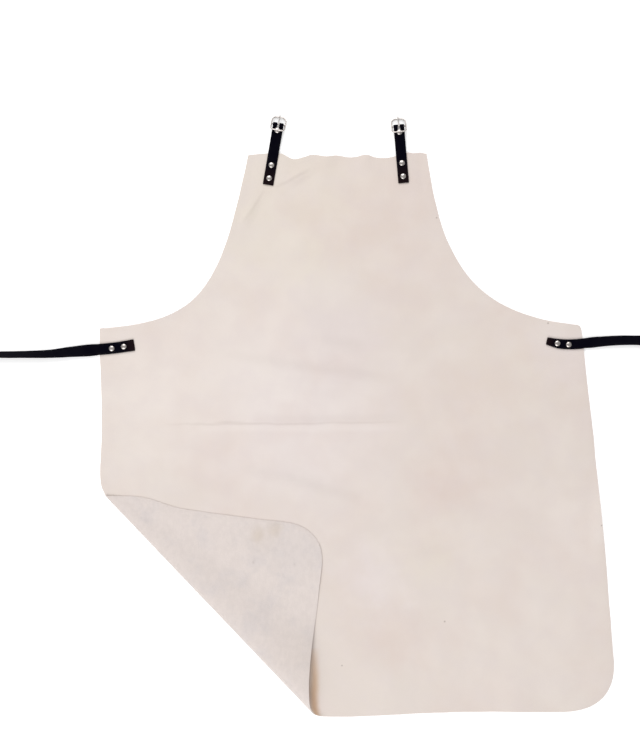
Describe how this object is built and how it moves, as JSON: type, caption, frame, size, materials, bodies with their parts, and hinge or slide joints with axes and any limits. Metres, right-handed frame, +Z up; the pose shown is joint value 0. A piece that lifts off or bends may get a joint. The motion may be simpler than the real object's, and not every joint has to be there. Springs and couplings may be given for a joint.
{
  "type": "leather apron",
  "caption": "Hide work apron laid out front up, bib and skirt in one piece, lower left corner turned over, riveted neck tabs with wire buckles and riveted waist straps.",
  "frame": {"origin": "on the floor under the middle of the apron's bounding box", "axes": "+X to the right of the laid-out apron, +Y from the hem to the bib, +Z up from the floor out of its front"},
  "size_m": [1.0906, 0.903, 0.0261],
  "materials": {
    "hide": "matt, soft nap, faint mottling",
    "strap_leather": "smooth, low sheen",
    "nickel": "bright nickel plate, lightly scratched"
  },
  "bodies": {
    "apron": {"apron_panel": "hide", "neck_tab_left": "strap_leather", "neck_tab_right": "strap_leather", "waist_strap_left": "strap_leather", "waist_strap_right": "strap_leather", "rivet_neck_left_lower": "nickel", "rivet_neck_left_upper": "nickel", "rivet_neck_right_lower": "nickel", "rivet_neck_right_upper": "nickel", "rivet_buckle_left": "nickel", "rivet_buckle_right": "nickel", "rivet_waist_left_inner": "nickel", "rivet_waist_left_outer": "nickel", "rivet_waist_right_inner": "nickel", "rivet_waist_right_outer": "nickel"},
    "buckle_left": {"buckle_frame_left": "nickel"},
    "prong_left": {"buckle_prong_left": "nickel"},
    "buckle_right": {"buckle_frame_right": "nickel"},
    "prong_right": {"buckle_prong_right": "nickel"}
  },
  "joints": [
    {"name": "buckle_left_swing", "type": "hinge", "parent": "apron", "child": "buckle_left", "pos_m": [-0.09246, 0.43537, 0.0075], "axis": [0.9854, -0.1702, 0], "range_deg": [-100, 0]},
    {"name": "prong_left_swing", "type": "hinge", "parent": "buckle_left", "child": "prong_left", "pos_m": [-0.09246, 0.43537, 0.0075], "axis": [0.9854, -0.1702, 0], "range_deg": [0, 110]},
    {"name": "buckle_right_swing", "type": "hinge", "parent": "apron", "child": "buckle_right", "pos_m": [0.08794, 0.43277, 0.0075], "axis": [0.9962, 0.0872, 0], "range_deg": [-100, 0]},
    {"name": "prong_right_swing", "type": "hinge", "parent": "buckle_right", "child": "prong_right", "pos_m": [0.08794, 0.43277, 0.0075], "axis": [0.9962, 0.0872, 0], "range_deg": [0, 110]}
  ]
}
